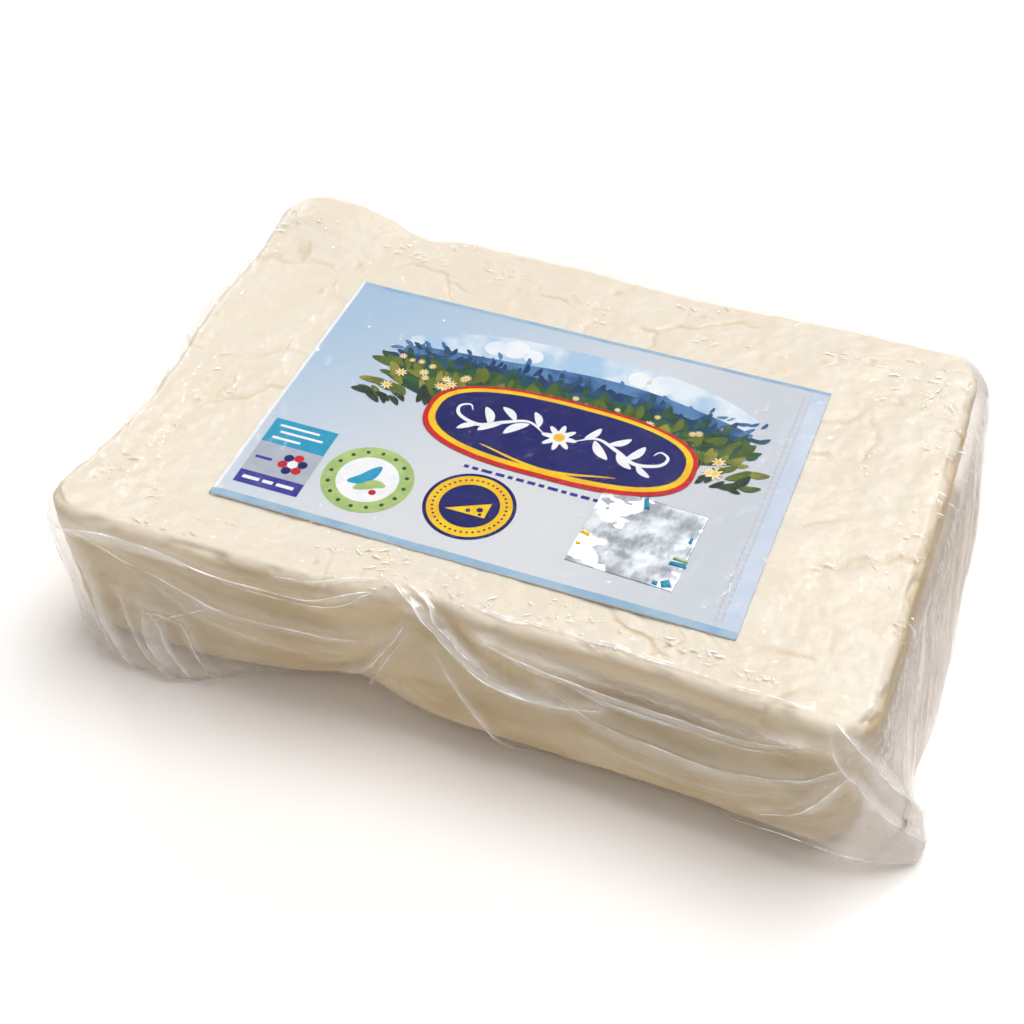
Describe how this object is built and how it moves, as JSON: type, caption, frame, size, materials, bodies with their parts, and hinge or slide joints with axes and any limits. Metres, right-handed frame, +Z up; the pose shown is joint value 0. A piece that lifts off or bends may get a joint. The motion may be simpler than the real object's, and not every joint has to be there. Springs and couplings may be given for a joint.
{
  "type": "vacuum-packed cheese block",
  "caption": "Brick of white brined cheese (telemea) shrunk into a clear film bag, with slack film at its sides, a printed label lying on its flat top and a small foil seal on the label.",
  "frame": {"origin": "on the surface that the pack lies on, under the middle of the bag's box", "axes": "+X along the block's length, +Y from its front wall to its back wall, +Z up through the label"},
  "size_m": [0.1664, 0.1102, 0.0356],
  "materials": {
    "cheese": "moist cream-white curd, softly lumpy, seen through clear film",
    "film": "clear glossy vacuum film, creased, slightly milky where it is folded",
    "label_paper": "satin printed paper in pale blue, navy and green fields",
    "foil": "bright facetted foil"
  },
  "bodies": {
    "root": {"bag": "cheese", "label": "label_paper", "foil_seal": "foil"}
  },
  "joints": []
}
